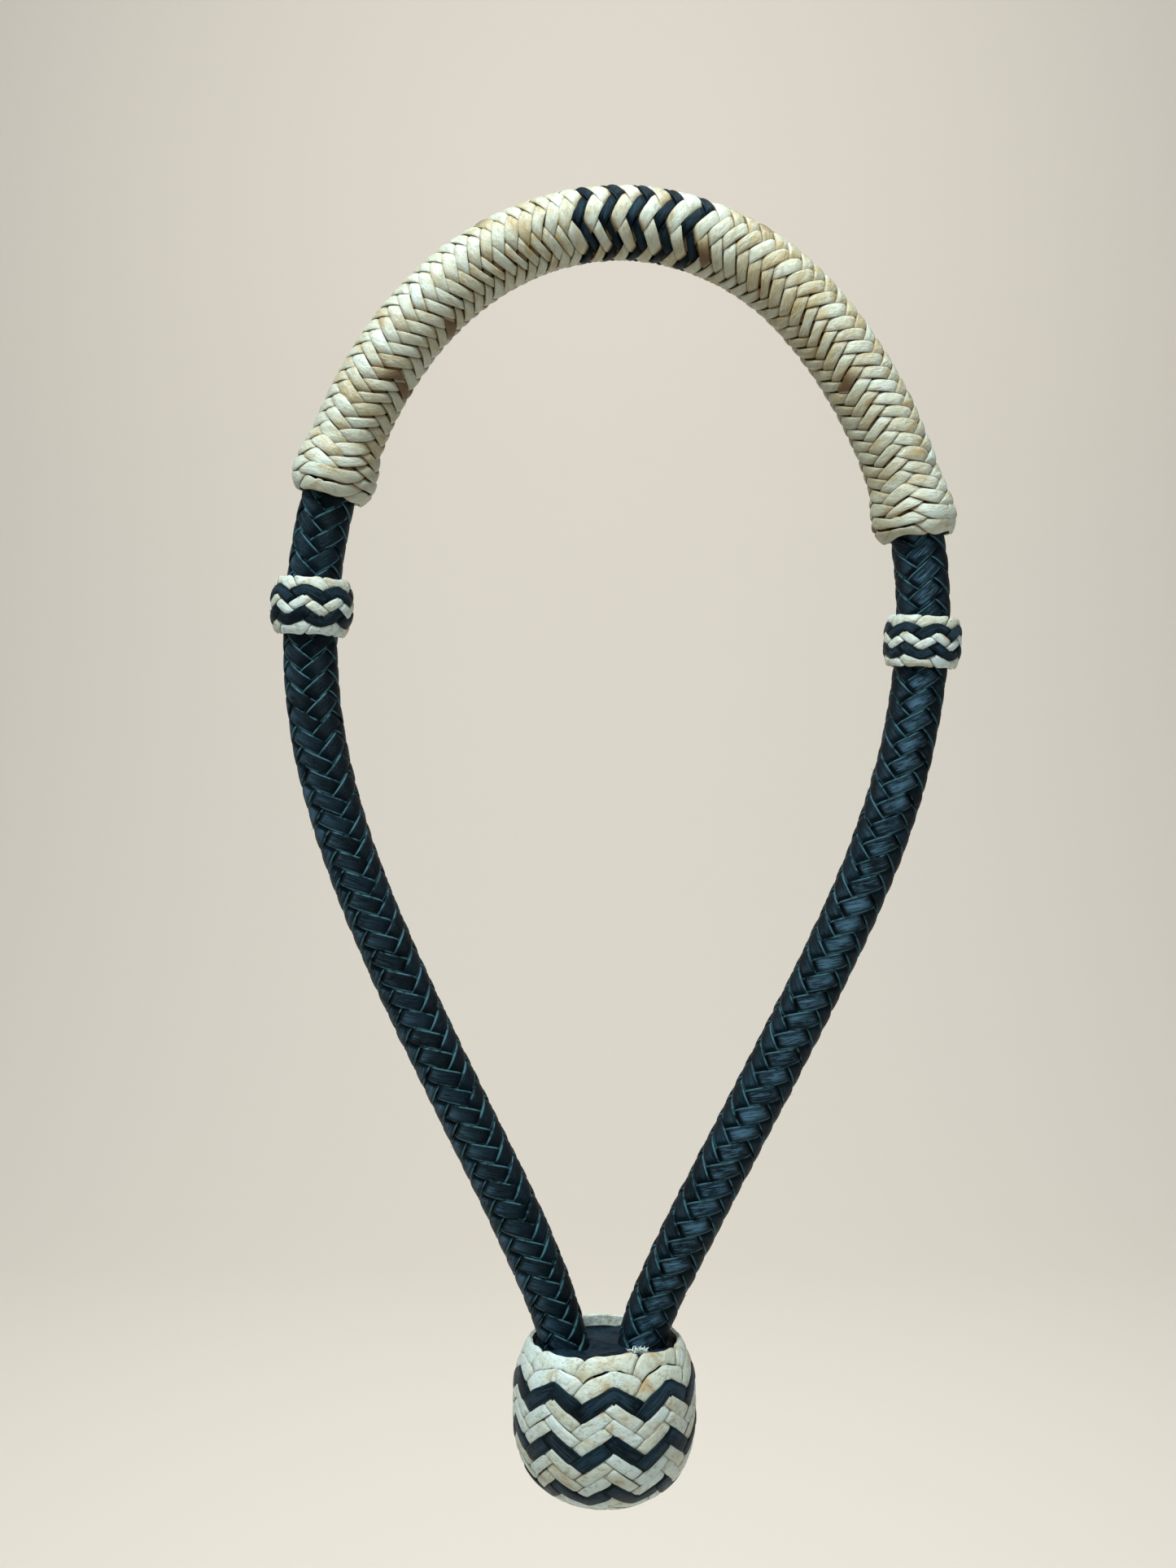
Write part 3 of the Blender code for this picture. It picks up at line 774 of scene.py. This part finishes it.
def plain_material(name, shades, roughness, scale, distance, gloss=0.5):
    """For pieces inside the knots: two shades of one colour, and a grain."""
    paint = Paint(name)
    coordinates = node(paint.tree, "ShaderNodeTexCoord").outputs["Object"]
    grain = paint.noise(coordinates, scale, 5.0, 0.62)
    broad = paint.noise(coordinates, scale * 0.18, 3.0, 0.5)
    shade = paint.math("ADD", paint.math("MULTIPLY", grain, 0.6), paint.math("MULTIPLY", broad, 0.4))
    paint.link(paint.ramp(shade, *zip((0.35, 0.65), shades)), "Base Color")
    paint.link(paint.spread(grain, 0.3, 0.7, roughness - 0.08, roughness + 0.1), "Roughness")
    paint.link(paint.bump(grain, distance, 0.7), "Normal")
    paint.set(Specular_IOR_Level=gloss)
    return paint.material


# ---------------------------------------------------------------- pieces

def finish_piece(obj, slot, *nodes):
    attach(obj, "root")
    if nodes:
        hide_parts(*nodes)


def build_cheeks(paints):
    look = Look(thickness=0.85 * MM, rise=0.46 * MM, fill=0.97, crown=0.18 * MM, power=6, tilt=0.16,
                swell=0.35)
    pitch = 2.73 * MM
    nose_end = NOSE_HALF_LENGTH - CHEEK_UNDER_NOSE
    for name, seed, low, high, turn_deg, lit_deg in (
        ("left", 4, LINE.start + CHEEK_HIDDEN_END, -nose_end, -105, -50),
        ("right", 5, nose_end, LINE.end - CHEEK_HIDDEN_END, -165, -95),
    ):
        weave = Weave(cheek_surface, 6, 2, pitch, (low + high) / 2, look, seed, turn_deg)
        # The side of each plait that the light falls on, where its highlight is painted.
        weave.worn_angle = math.radians(lit_deg)
        strands = Strands()
        half = (high - low) / 2 / pitch
        weave.open_braid(strands, -half, half)
        obj = strands.make(name + "_cheek_plait", paints[name])
        finish_piece(obj, "black_plait", "plaited_body")


def build_nose(cream, black):
    look = Look(thickness=1.05 * MM, rise=0.47 * MM, fill=0.985, crown=0.28 * MM, power=4.5,
                width=0.13, wander=0.10, tilt=0.18, swell=0.26)
    pitch = 1.80 * MM
    black_rows = [-4, -2, 0, 2, 4]
    weave = Weave(nose_surface, 8, 2, pitch, 0.0, look, 11, turn_deg=-78.75)
    weave.SLOPE, weave.SAMPLES = 0.48, 5
    weave.sparse_angle, weave.stained_at = math.radians(-125), 46 * MM
    # The side of the nose button that the light falls on; its other side is painted in shade.
    weave.worn_angle, weave.lit_focus, weave.gap_share = math.radians(-62), 1.5, 0.04
    weave.black_width, weave.among_black = 0.80, 11
    groups = {False: Strands(), True: Strands()}
    rim = 2 * round(NOSE_HALF_LENGTH / pitch / 2)
    weave.knot(groups.get, -rim, rim, bend=1.4, flat=0.7, reach=4.0, black_rows=black_rows)
    obj = groups[False].make("nose_button_strands", cream)
    finish_piece(obj, "cream_rawhide", "nose_button_braid")
    obj = groups[True].make("nose_interweave_strands", black)
    finish_piece(obj, "black_interweave", *(f"nose_interweave_{i}" for i in range(1, 6)))


def build_side_buttons(cream, black):
    look = Look(thickness=0.75 * MM, rise=0.42 * MM, fill=0.95, crown=0.30 * MM, width=0.08,
                swell=0.25)
    low, high = -4, 6
    for side, (sign, at, radius, length) in SIDE_BUTTONS.items():
        surface = Turned(side_profile(radius, length), side_place(sign * at))
        pitch = surface.arc[-1] / (high - low - 0.2)
        middle = surface.arc[-1] / 2 - pitch
        turn_deg = {"left": -111.9, "right": -75.0}[side]
        weave = Weave(surface, 14, 2, pitch, middle, look, 21 + sign, turn_deg)
        weave.black_width, weave.black_lift = 1.10, 0.12 * MM
        groups = {False: Strands(), True: Strands()}
        weave.knot(groups.get, low, high, bend=1.3, flat=0.62, reach=1.1)
        obj = groups[False].make(side + "_side_button_strands", cream)
        finish_piece(obj, "cream_rawhide", side + "_side_button_braid")
        obj = groups[True].make(side + "_side_interweave_strands", black)
        nodes = [f"{side}_side_interweave_{level}" for level in ("upper", "lower")]
        finish_piece(obj, "black_interweave", *nodes)


def add_lip_turn(strands):
    """The strand that lines the inside of the heel knot's lip, behind the shanks."""
    random = np.random.default_rng(37)
    angle = np.radians(np.linspace(38, 142, 61))
    outline = [(-0.35, -2.6), (-0.42, -1.2), (-0.35, 0.1), (0.0, 0.45), (0.35, 0.1), (0.35, -2.6)]
    wave = sum(random.uniform(0.05, 0.14) * np.sin(k * angle + random.uniform(0, 6.28))
               for k in (2, 3, 5, 8, 13))
    radius = HEEL_MOUTH_RADIUS - 1.25 * MM
    rings = np.stack(
        [heel_place((h + wave) * MM, angle, radius + (r + 0.3 * wave) * MM) for r, h in outline], axis=1
    )
    strands.add(
        rings, along=(angle * radius / MM)[:, None], across=np.array([0.5, 0.0, -0.5, 0, 0, 0]),
        tint=0.6, lift=1.0, seed=0.37, worn=0.0,
    )


def build_heel(cream, black):
    look = Look(thickness=1.0 * MM, rise=0.46 * MM, fill=0.99, crown=0.24 * MM, power=5.0,
                width=0.09, wander=0.07, tilt=0.12, swell=0.2)
    pitch = 2.1 * MM
    surface = Turned(heel_profile(), heel_place)
    # The upper rim lies just under the lip of the surface, and the lower one just above its hole.
    below_lip, above_hole = 0.6 * MM, 0.8 * MM
    high = 13
    middle = surface.arc_at_height(-below_lip) - (high - 0.2) * pitch
    low = 2 * math.ceil((above_hole - middle) / pitch / 2)
    weave = Weave(surface, 18, 3, pitch, middle, look, 31, turn_deg=-104.7)
    weave.black_width, weave.black_lift = 1.16, 0.12 * MM
    groups = {False: Strands(), True: Strands()}
    weave.knot(groups.get, low, high, bend=1.5, flat=0.6, reach=2.4, lift=0.35)
    add_lip_turn(groups[False])
    obj = groups[False].make("heel_knot_strands", cream)
    finish_piece(obj, "cream_rawhide", "heel_knot_braid")
    obj = groups[True].make("heel_interweave_strands", black)
    nodes = [f"heel_interweave_{level}" for level in ("upper", "middle", "lower")]
    finish_piece(obj, "black_interweave", *nodes)


def build_filler(paint):
    """Scraps of black leather packed round the shanks, up to the lip of the heel knot."""
    radius, depth = 18.0 * MM, 7.0 * MM
    rings, spokes = 26, 96
    random = np.random.default_rng(41)
    waves = [(random.uniform(150, 520, 2) * random.choice((-1, 1), 2), random.uniform(0, 6.28))
             for _ in range(9)]

    def top(x, y):
        bumps = sum(np.sin(x * k[0] + y * k[1] + phase) for k, phase in waves) / 4.5
        folds = 1 - np.abs(np.sin(210 * x + 1.3 * np.sin(330 * y)))
        return -2.7 * MM + 0.6 * MM * bumps + 0.9 * MM * folds ** 3

    bm = bmesh.new()
    levels = []
    for i in range(1, rings + 1):
        level = []
        for j in range(spokes):
            angle = 2 * math.pi * j / spokes
            x, y = radius * i / rings * math.cos(angle), radius * i / rings * math.sin(angle)
            level.append(bm.verts.new((HEEL_AXIS_X + x, y, HEEL_MOUTH_Z + top(x, y))))
        levels.append(level)
    under = [bm.verts.new((v.co.x, v.co.y, HEEL_MOUTH_Z - depth)) for v in levels[-1]]
    centre = bm.verts.new((HEEL_AXIS_X, 0, HEEL_MOUTH_Z + top(0.0, 0.0)))
    for a, b in zip(levels, levels[1:] + [under]):
        for j in range(spokes):
            k = (j + 1) % spokes
            bm.faces.new((a[j], b[j], b[k], a[k]))
    for j in range(spokes):
        bm.faces.new((centre, levels[0][j], levels[0][(j + 1) % spokes]))
    bm.faces.new(under[::-1])
    mesh = bpy.data.meshes.new("heel_filler_scraps")
    bm.to_mesh(mesh)
    bm.free()
    mesh.shade_smooth()
    mesh.materials.append(paint)
    obj = bpy.data.objects.new("heel_filler_scraps", mesh)
    bpy.context.scene.collection.objects.link(obj)
    finish_piece(obj, "black_leather", "heel_filler")


def add_fibre(strands, root, direction, length, width, droop, random):
    """A thin fibre that starts at root, tapers to a point and bends over."""
    root, direction = np.array(root), np.array(direction) / np.linalg.norm(direction)
    side = np.cross(direction, (0.0, 1.0, 0.2))
    side /= np.linalg.norm(side)
    bend = random.normal(0, 0.35, 3) + np.array([0, 0, -droop])
    t = np.linspace(0, 1, 7)
    spine = root + length * (t[:, None] * direction + 0.5 * t[:, None] ** 2 * bend)
    half = width / 2 * (1 - t) ** 0.6 + 0.01 * MM
    other = np.cross(direction, side)
    ring = [(1, 0), (0, 0.6), (-1, 0), (0, -0.6)]
    rings = np.stack([spine + half[:, None] * (a * side + b * other) for a, b in ring], axis=1)
    strands.add(
        rings, along=(t * length / MM)[:, None], across=0.3, tint=random.random(), lift=1.0,
        seed=random.random(), worn=1.0,
    )


def build_fray(paint):
    """Where the lip of the heel knot is torn: a ragged tuft of pale fibres at the front."""
    random = np.random.default_rng(53)
    strands = Strands()
    lip = HEEL_MOUTH_RADIUS - 0.5 * MM
    fibres = 110
    for _ in range(fibres):
        angle = math.radians(random.uniform(-69, -55))
        root = heel_place(random.uniform(-1.3, -0.2) * MM, angle, lip + random.uniform(-0.3, 0.7) * MM)
        away = np.array([random.normal(-0.5, 0.7), random.normal(-0.1, 0.4), random.uniform(0.3, 1.0)])
        length = random.uniform(0.8, 1.9) * MM
        add_fibre(strands, root, away, length, random.uniform(0.2, 0.55) * MM, 0.5, random)
    obj = strands.make("heel_lip_fray", paint)
    finish_piece(obj, "cream_rawhide")


def build_loose_hairs(paint):
    """Short fibres that stand off the black plait."""
    random = np.random.default_rng(61)
    strands = Strands()
    hidden, below_button, hairs = 2 * CHEEK_HIDDEN_END, 152 * MM, 110
    spans = ((LINE.start + hidden, -below_button), (below_button, LINE.end - hidden))
    for low, high in spans:
        for _ in range(hairs):
            s, angle = random.uniform(low, high), random.uniform(0, 2 * math.pi)
            root = cheek_surface(s, angle, 0.75 * MM)
            tip = cheek_surface(s + random.normal(0, 1.0) * MM, angle + random.normal(0, 0.15), 1.6 * MM)
            add_fibre(strands, root, tip - root, random.uniform(0.5, 1.5) * MM, 0.11 * MM, 0.2, random)
    obj = strands.make("plait_loose_hairs", paint)
    finish_piece(obj, "black_plait")


def repaint_inner_pieces():
    wrap = plain_material("wound_rawhide", WOUND_RAWHIDE, 0.6, 900, 0.0002)
    core = plain_material("twisted_core", CORE_RAWHIDE, 0.5, 700, 0.0002)
    thread = plain_material("lashing_thread", LASHING, 0.8, 1200, 0.0002)
    paints = {"foundation": wrap, "end_ring": wrap, "core": core, "binding": thread}
    for name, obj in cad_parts.items():
        for key, made in paints.items():
            if key in name:
                obj.data.materials.clear()
                obj.data.materials.append(made)


# ---------------------------------------------------------------- stage, lights and camera

VIEW_HEIGHT = 404.67 * MM
LENS_MM = 48.0
SENSOR_MM = 36.0
VIEW_CENTRE = Vector((-13.3, 0.0, -134.2)) * MM
ELEVATION = math.radians(2.2)


def area_light(name, place, aim, size, power, colour):
    data = bpy.data.lights.new(name, "AREA")
    data.shape = "DISK"
    data.size = size
    data.energy = power
    data.color = colour
    obj = bpy.data.objects.new(name, data)
    bpy.context.scene.collection.objects.link(obj)
    obj.location = place
    obj.rotation_euler = (Vector(aim) - Vector(place)).to_track_quat("-Z", "Y").to_euler()


def build_stage():
    """A pale floor that sweeps up into a far backdrop."""
    front, depth, radius, floor_z, height, half_width = -4.0, 3.0, 1.2, -0.75, 3.5, 5.0
    turn = np.linspace(0, math.pi / 2, 13)
    line = [(front, floor_z)]
    line += [(depth - radius + radius * math.sin(t), floor_z + radius * (1 - math.cos(t))) for t in turn]
    line += [(depth, height)]
    verts = [(side * half_width, y, z) for y, z in line for side in (-1, 1)]
    faces = [(2 * i, 2 * i + 1, 2 * i + 3, 2 * i + 2) for i in range(len(line) - 1)]
    mesh = bpy.data.meshes.new("floor")
    mesh.from_pydata(verts, [], faces)
    mesh.shade_smooth()
    paint = Paint("floor_paint")
    paint.set(Base_Color=(0.76, 0.71, 0.64, 1.0), Roughness=0.9)
    mesh.materials.append(paint.material)
    floor = bpy.data.objects.new("floor", mesh)
    bpy.context.scene.collection.objects.link(floor)


def build_lights():
    """A soft key from above on the left, a lamp overhead, a weak fill, and a lamp for the backdrop."""
    world = bpy.data.worlds.new("studio")
    bpy.context.scene.world = world
    world.use_nodes = True
    sky = world.node_tree.nodes["Background"]
    sky.inputs["Color"].default_value = (0.88, 0.97, 1.0, 1.0)
    sky.inputs["Strength"].default_value = 0.17
    bpy.context.scene.view_settings.view_transform = "Standard"
    aim, cool = VIEW_CENTRE, (0.93, 1.0, 1.0)
    area_light("key", (-0.31, -0.55, 0.87), aim, 0.42, 18.0, cool)
    area_light("top", (0.15, 0.05, 0.95), aim, 0.55, 6.0, cool)
    area_light("fill", (0.9, -0.8, 0.1), aim, 0.9, 2.6, (0.92, 0.97, 1.0))
    area_light("backdrop", (0.0, 0.9, 1.3), (0.0, 3.0, -0.2), 1.2, 34.0, (1.0, 0.99, 0.97))


def build_camera():
    data = bpy.data.cameras.new("camera")
    data.lens = LENS_MM
    data.sensor_width = SENSOR_MM
    data.clip_start = 0.01
    camera = bpy.data.objects.new("camera", data)
    bpy.context.scene.collection.objects.link(camera)
    distance = VIEW_HEIGHT * LENS_MM / SENSOR_MM
    back = Vector((0, -math.cos(ELEVATION), math.sin(ELEVATION)))
    camera.location = VIEW_CENTRE + distance * back
    camera.rotation_euler = (math.pi / 2 - ELEVATION, 0, 0)
    bpy.context.scene.camera = camera


build_camera()
build_lights()
build_stage()
nose_cream = cream_rawhide("nose_rawhide", straw=0.17, stain=0.40, shade_depth=0.55, side_shade=0.55, vary=0.18)
knot_cream = cream_rawhide("knot_rawhide", straw=-0.02, stain=0.60, shade_depth=0.5)
plait_blacks = {
    "left": black_leather("left_plait_strand", PLAIT_EDGE, 0.95, gloss=0.34, sheen_amount=0.80),
    "right": black_leather("right_plait_strand", PLAIT_EDGE, 0.80, gloss=0.34, sheen_amount=1.0),
}
lace_black = black_leather("black_lace", LACE_EDGE, 0.5, gloss=0.32, sheen_amount=0.27)
build_cheeks(plait_blacks)
build_nose(nose_cream, lace_black)
build_side_buttons(knot_cream, lace_black)
build_heel(knot_cream, lace_black)
build_filler(plain_material("filler_leather", FILLER_BLACK, 0.50, 420, 0.0009, gloss=0.07))
build_fray(cream_rawhide("frayed_rawhide", straw=-0.5, stain=0.0))
build_loose_hairs(lace_black)
repaint_inner_pieces()
